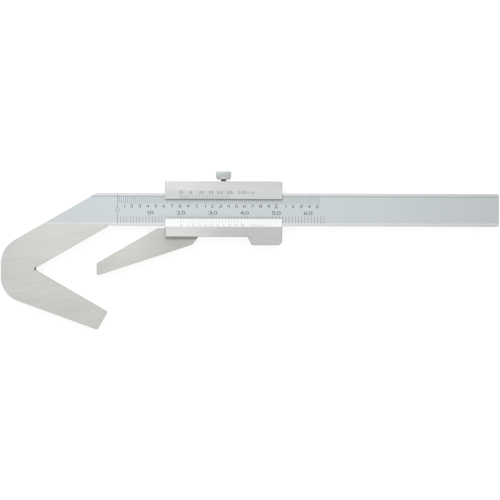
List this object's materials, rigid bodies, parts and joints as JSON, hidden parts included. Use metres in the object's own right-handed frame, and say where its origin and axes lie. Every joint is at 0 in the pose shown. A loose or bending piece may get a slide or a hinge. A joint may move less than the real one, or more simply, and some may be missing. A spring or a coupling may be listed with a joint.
{
  "type": "three-point caliper",
  "caption": "Vernier caliper with a 60 degree V-jaw and a slanted moving jaw, for measuring the diameter of tools with three cutting edges.",
  "frame": {"origin": "middle of the whole caliper's box in X and Y, on the flat back of the slider that it lies on", "axes": "+X along the beam away from the V-jaw, +Y across the beam towards the clamp screw, +Z out of the scale face"},
  "size_m": [0.235, 0.075, 0.0076],
  "materials": {
    "ground_steel": "fine ground",
    "slider_steel": "fine ground with satin chromed bevels",
    "knurled_nickel": "matt nickel plated, straight knurl",
    "screw_steel": "dark oiled",
    "engraving_ink": "black filled engraving of the scales and verniers",
    "spring_bronze": "rolled",
    "pad_brass": "turned"
  },
  "bodies": {
    "beam": {"beam_with_v_jaw": "ground_steel", "end_stop_screw": "screw_steel"},
    "slider": {"slider_body": "slider_steel", "moving_jaw": "ground_steel", "jaw_rivet_left": "ground_steel", "jaw_rivet_right": "ground_steel", "gib_strip": "spring_bronze", "gib_screw_left": "screw_steel", "gib_screw_right": "screw_steel"},
    "pad": {"clamp_pad": "pad_brass"},
    "clamp": {"clamp_screw": "knurled_nickel"}
  },
  "joints": [
    {"name": "slider_travel", "type": "slide", "parent": "beam", "child": "slider", "axis": [1, 0, 0], "range_m": [-0.02377, 0.0964]},
    {"name": "pad_travel", "type": "slide", "parent": "slider", "child": "pad", "axis": [0, 1, 0], "range_m": [0, 0.000675]},
    {"name": "clamp_turn", "type": "hinge", "parent": "pad", "child": "clamp", "pos_m": [-0.01251, 0.035, 0.0038], "axis": [0, 1, 0], "range_deg": [0, 540]}
  ],
  "couplings": [
    {"joint": "clamp_turn", "follows": "pad_travel", "rad_per_m": 13963}
  ]
}
